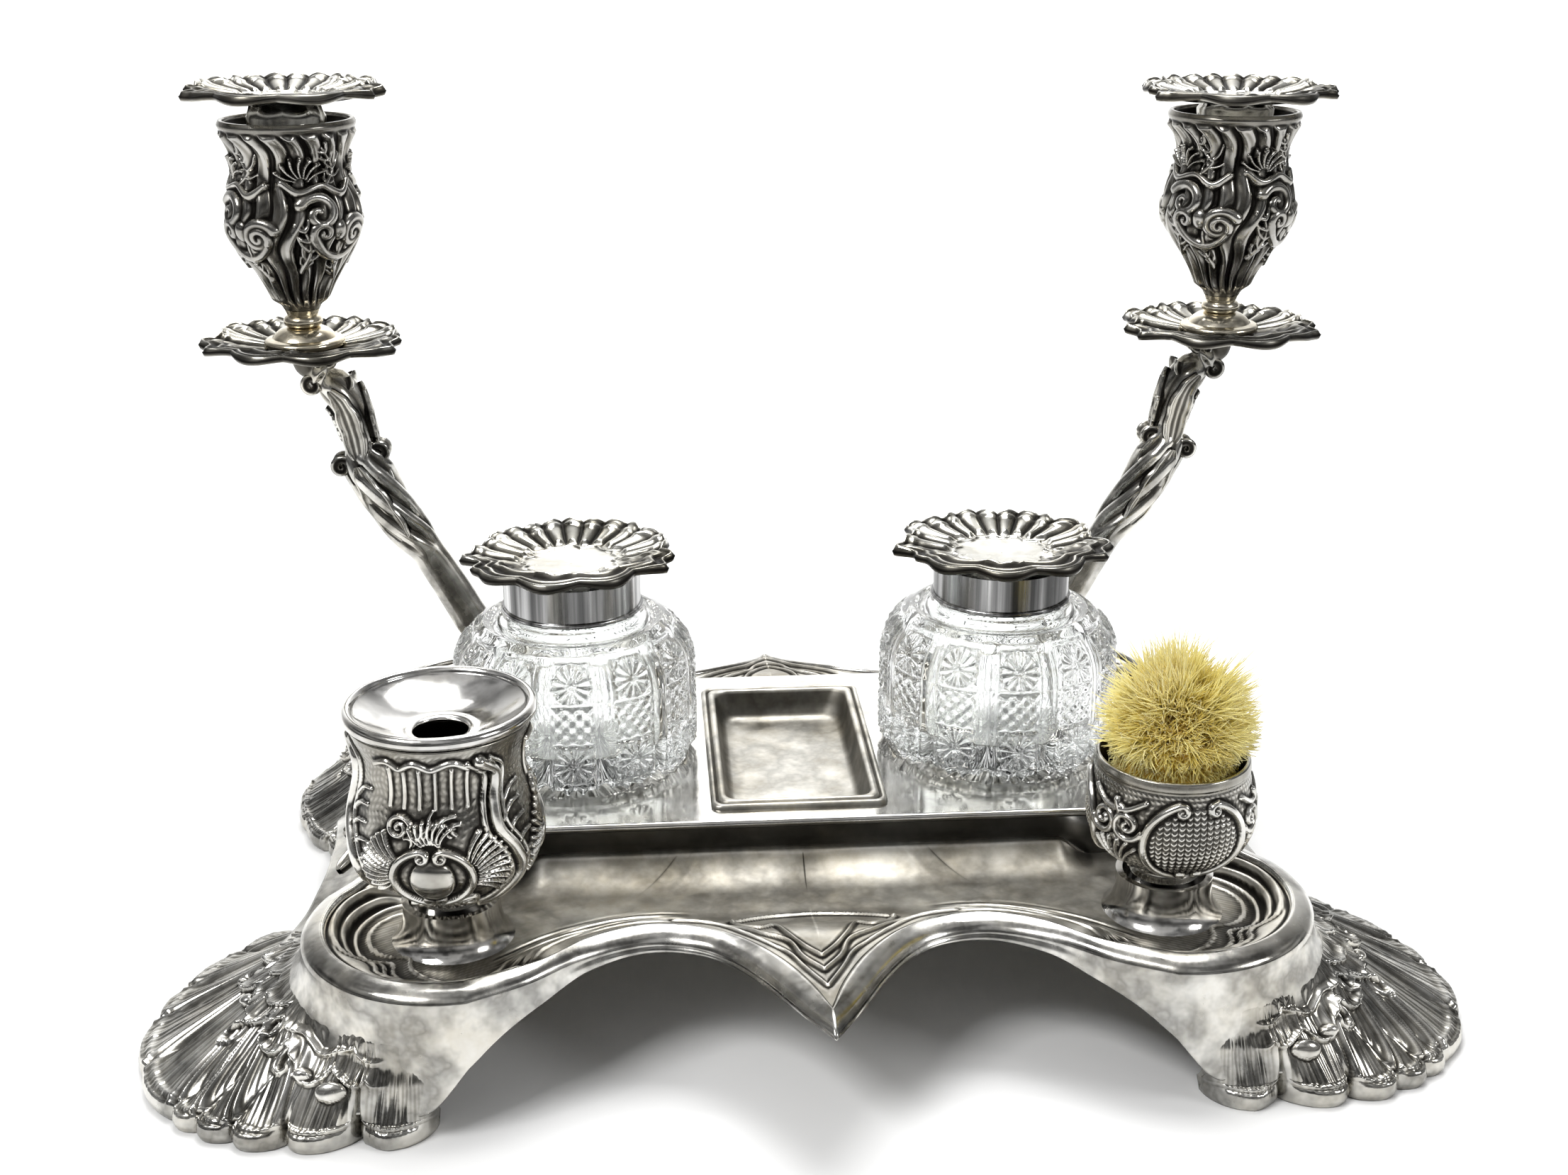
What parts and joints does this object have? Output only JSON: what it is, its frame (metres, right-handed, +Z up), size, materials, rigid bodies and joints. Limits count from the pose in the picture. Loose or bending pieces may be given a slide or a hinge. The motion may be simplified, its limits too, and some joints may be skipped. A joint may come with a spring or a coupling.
{
  "type": "inkwell stand",
  "caption": "Silver-plated desk inkstand with shell feet, lidded cut-glass ink bottles, a pounce pot, a cup with a pen wiper and swivelling candle branches.",
  "frame": {"origin": "centre of the footprint, on the table", "axes": "+X to the right, +Y to the back (behind the candle branches), +Z up"},
  "size_m": [0.3694, 0.277, 0.2378],
  "materials": {
    "silver_plate": "polished",
    "silver_cast": "satin",
    "worn_silver": "satin",
    "brass_nut": "satin",
    "pin_steel": "satin",
    "cut_glass": "polished",
    "wiper_tufts": "matte"
  },
  "bodies": {
    "stand": {"stand_tray": "silver_plate", "foot_front_left": "silver_cast", "foot_front_right": "silver_cast", "foot_rear_left": "silver_cast", "foot_rear_right": "silver_cast", "ink_plinth": "silver_plate", "nib_tray": "silver_plate", "plinth_nuts": "brass_nut", "socket_nuts": "brass_nut", "socket_ring_left": "silver_plate", "socket_ring_right": "silver_plate", "branch_receiver_left": "silver_plate", "branch_receiver_right": "silver_plate"},
    "inkwell_left": {"glass_bottle_left": "cut_glass", "collar_left": "silver_plate", "hinge_pin_left": "pin_steel"},
    "lid_left": {"ink_lid_left": "silver_cast"},
    "inkwell_right": {"glass_bottle_right": "cut_glass", "collar_right": "silver_plate", "hinge_pin_right": "pin_steel"},
    "lid_right": {"ink_lid_right": "silver_cast"},
    "pot": {"pot_body": "silver_cast"},
    "cover": {"pot_cover": "silver_plate"},
    "cup": {"wiper_cup": "silver_cast"},
    "wiper": {"pen_wiper": "wiper_tufts"},
    "branch_left": {"candle_branch_left": "silver_cast", "drip_pan_left": "silver_cast", "cup_base_left": "worn_silver", "candle_cup_left": "silver_cast"},
    "nozzle_left": {"nozzle_left": "worn_silver"},
    "branch_right": {"candle_branch_right": "silver_cast", "drip_pan_right": "silver_cast", "cup_base_right": "worn_silver", "candle_cup_right": "silver_cast"},
    "nozzle_right": {"nozzle_right": "worn_silver"}
  },
  "joints": [
    {"name": "inkwell_left_lift", "type": "slide", "parent": "stand", "child": "inkwell_left", "axis": [0, 0, 1], "range_m": [0, 0.06]},
    {"name": "lid_left_hinge", "type": "hinge", "parent": "inkwell_left", "child": "lid_left", "pos_m": [-0.065, 0.0372, 0.105], "axis": [-1, 0, 0], "range_deg": [0, 100]},
    {"name": "inkwell_right_lift", "type": "slide", "parent": "stand", "child": "inkwell_right", "axis": [0, 0, 1], "range_m": [0, 0.06]},
    {"name": "lid_right_hinge", "type": "hinge", "parent": "inkwell_right", "child": "lid_right", "pos_m": [0.065, 0.0372, 0.105], "axis": [-1, 0, 0], "range_deg": [0, 100]},
    {"name": "pot_lift", "type": "slide", "parent": "stand", "child": "pot", "axis": [0, 0, 1], "range_m": [0, 0.04]},
    {"name": "pot_cover_lift", "type": "slide", "parent": "pot", "child": "cover", "axis": [0, 0, 1], "range_m": [0, 0.03]},
    {"name": "cup_lift", "type": "slide", "parent": "stand", "child": "cup", "axis": [0, 0, 1], "range_m": [0, 0.04]},
    {"name": "wiper_pull", "type": "slide", "parent": "cup", "child": "wiper", "axis": [0, 0, 1], "range_m": [0, 0.05]},
    {"name": "branch_left_swivel", "type": "hinge", "parent": "stand", "child": "branch_left", "pos_m": [-0.097, 0.09, 0.04], "axis": [0, 0, -1], "range_deg": [-25, 60]},
    {"name": "nozzle_left_lift", "type": "slide", "parent": "branch_left", "child": "nozzle_left", "axis": [0, 0, 1], "range_m": [0, 0.045]},
    {"name": "branch_right_swivel", "type": "hinge", "parent": "stand", "child": "branch_right", "pos_m": [0.097, 0.09, 0.04], "axis": [0, 0, 1], "range_deg": [-25, 60]},
    {"name": "nozzle_right_lift", "type": "slide", "parent": "branch_right", "child": "nozzle_right", "axis": [0, 0, 1], "range_m": [0, 0.045]}
  ]
}
